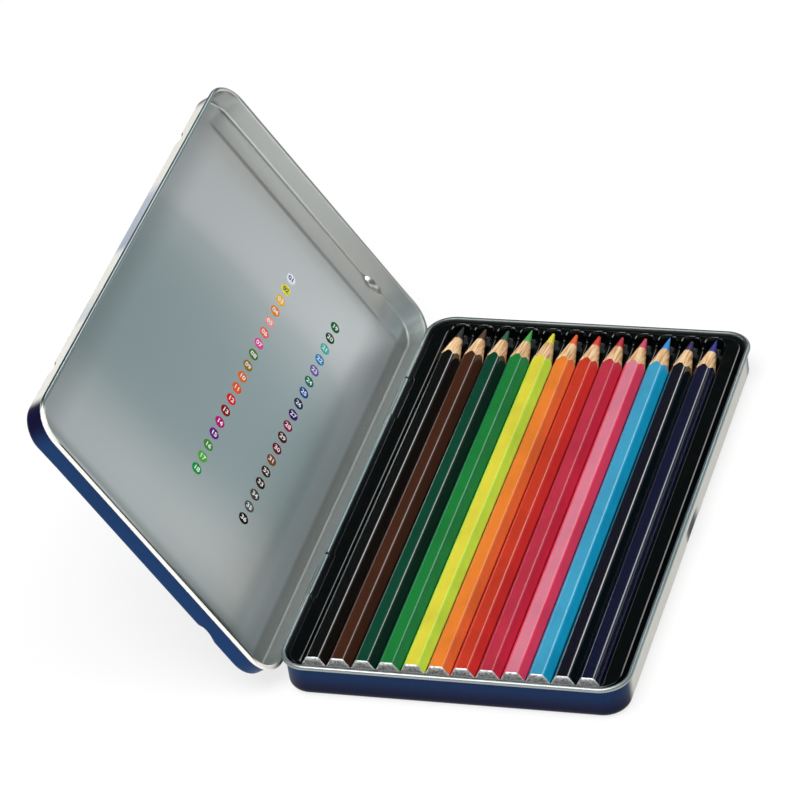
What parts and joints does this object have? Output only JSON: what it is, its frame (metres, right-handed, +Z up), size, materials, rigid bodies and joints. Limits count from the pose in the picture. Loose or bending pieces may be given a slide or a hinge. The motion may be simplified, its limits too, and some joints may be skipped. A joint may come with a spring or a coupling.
{
  "type": "watercolor pencil set",
  "caption": "Flat hinged tin of colour pencils in a black formed tray; lid curled round the base's lugs swings shut over the base, tray and pencils lift out.",
  "frame": {"origin": "middle of the flat underside of the base tin", "axes": "+X across the pencils from the hinge to the opening side, +Y along the pencils to their points, +Z up; the rest pose is lid open on its stop, tray and pencils in place"},
  "size_m": [0.1805, 0.1914, 0.1052],
  "materials": {
    "printed_tinplate_base": "printed and varnished outside, bare satin tin inside and on the curled rim",
    "printed_tinplate_lid": "printed and varnished outside, bare satin tin inside and on the curled rim",
    "black_styrene": "glossy thermoformed sheet",
    "lacquer_black": "gloss lacquer over cedar, bare wood at the sharpened cone, silver blunt end",
    "core_black": "matt pigment core",
    "lacquer_dark_brown": "gloss lacquer over cedar, bare wood at the sharpened cone, silver blunt end",
    "core_dark_brown": "matt pigment core",
    "lacquer_dark_green": "gloss lacquer over cedar, bare wood at the sharpened cone, silver blunt end",
    "core_dark_green": "matt pigment core",
    "lacquer_green": "gloss lacquer over cedar, bare wood at the sharpened cone, silver blunt end",
    "core_green": "matt pigment core",
    "lacquer_yellow": "gloss lacquer over cedar, bare wood at the sharpened cone, silver blunt end",
    "core_yellow": "matt pigment core",
    "lacquer_orange": "gloss lacquer over cedar, bare wood at the sharpened cone, silver blunt end",
    "core_orange": "matt pigment core",
    "lacquer_vermilion": "gloss lacquer over cedar, bare wood at the sharpened cone, silver blunt end",
    "core_vermilion": "matt pigment core",
    "lacquer_crimson": "gloss lacquer over cedar, bare wood at the sharpened cone, silver blunt end",
    "core_crimson": "matt pigment core",
    "lacquer_pink": "gloss lacquer over cedar, bare wood at the sharpened cone, silver blunt end",
    "core_pink": "matt pigment core",
    "lacquer_light_blue": "gloss lacquer over cedar, bare wood at the sharpened cone, silver blunt end",
    "core_light_blue": "matt pigment core",
    "lacquer_violet": "gloss lacquer over cedar, bare wood at the sharpened cone, silver blunt end",
    "core_violet": "matt pigment core",
    "lacquer_navy": "gloss lacquer over cedar, bare wood at the sharpened cone, silver blunt end",
    "core_navy": "matt pigment core"
  },
  "bodies": {
    "base": {"base_tin": "printed_tinplate_base"},
    "lid": {"lid_tin": "printed_tinplate_lid"},
    "tray": {"pencil_tray": "black_styrene"},
    "pencil_black": {"pencil_black": "lacquer_black", "lead_black": "core_black"},
    "pencil_dark_brown": {"pencil_dark_brown": "lacquer_dark_brown", "lead_dark_brown": "core_dark_brown"},
    "pencil_dark_green": {"pencil_dark_green": "lacquer_dark_green", "lead_dark_green": "core_dark_green"},
    "pencil_green": {"pencil_green": "lacquer_green", "lead_green": "core_green"},
    "pencil_yellow": {"pencil_yellow": "lacquer_yellow", "lead_yellow": "core_yellow"},
    "pencil_orange": {"pencil_orange": "lacquer_orange", "lead_orange": "core_orange"},
    "pencil_vermilion": {"pencil_vermilion": "lacquer_vermilion", "lead_vermilion": "core_vermilion"},
    "pencil_crimson": {"pencil_crimson": "lacquer_crimson", "lead_crimson": "core_crimson"},
    "pencil_pink": {"pencil_pink": "lacquer_pink", "lead_pink": "core_pink"},
    "pencil_light_blue": {"pencil_light_blue": "lacquer_light_blue", "lead_light_blue": "core_light_blue"},
    "pencil_violet": {"pencil_violet": "lacquer_violet", "lead_violet": "core_violet"},
    "pencil_navy": {"pencil_navy": "lacquer_navy", "lead_navy": "core_navy"}
  },
  "joints": [
    {"name": "lid_hinge", "type": "hinge", "parent": "base", "child": "lid", "pos_m": [-0.0574, 0, 0.0068], "axis": [0, -1, 0], "range_deg": [-121.8, 0]},
    {"name": "tray_lift", "type": "slide", "parent": "base", "child": "tray", "axis": [0, 0, 1], "range_m": [0, 0.02]},
    {"name": "black_pencil_lift", "type": "slide", "parent": "tray", "child": "pencil_black", "axis": [0, 0, 1], "range_m": [0, 0.015]},
    {"name": "dark_brown_pencil_lift", "type": "slide", "parent": "tray", "child": "pencil_dark_brown", "axis": [0, 0, 1], "range_m": [0, 0.015]},
    {"name": "dark_green_pencil_lift", "type": "slide", "parent": "tray", "child": "pencil_dark_green", "axis": [0, 0, 1], "range_m": [0, 0.015]},
    {"name": "green_pencil_lift", "type": "slide", "parent": "tray", "child": "pencil_green", "axis": [0, 0, 1], "range_m": [0, 0.015]},
    {"name": "yellow_pencil_lift", "type": "slide", "parent": "tray", "child": "pencil_yellow", "axis": [0, 0, 1], "range_m": [0, 0.015]},
    {"name": "orange_pencil_lift", "type": "slide", "parent": "tray", "child": "pencil_orange", "axis": [0, 0, 1], "range_m": [0, 0.015]},
    {"name": "vermilion_pencil_lift", "type": "slide", "parent": "tray", "child": "pencil_vermilion", "axis": [0, 0, 1], "range_m": [0, 0.015]},
    {"name": "crimson_pencil_lift", "type": "slide", "parent": "tray", "child": "pencil_crimson", "axis": [0, 0, 1], "range_m": [0, 0.015]},
    {"name": "pink_pencil_lift", "type": "slide", "parent": "tray", "child": "pencil_pink", "axis": [0, 0, 1], "range_m": [0, 0.015]},
    {"name": "light_blue_pencil_lift", "type": "slide", "parent": "tray", "child": "pencil_light_blue", "axis": [0, 0, 1], "range_m": [0, 0.015]},
    {"name": "violet_pencil_lift", "type": "slide", "parent": "tray", "child": "pencil_violet", "axis": [0, 0, 1], "range_m": [0, 0.015]},
    {"name": "navy_pencil_lift", "type": "slide", "parent": "tray", "child": "pencil_navy", "axis": [0, 0, 1], "range_m": [0, 0.015]}
  ]
}
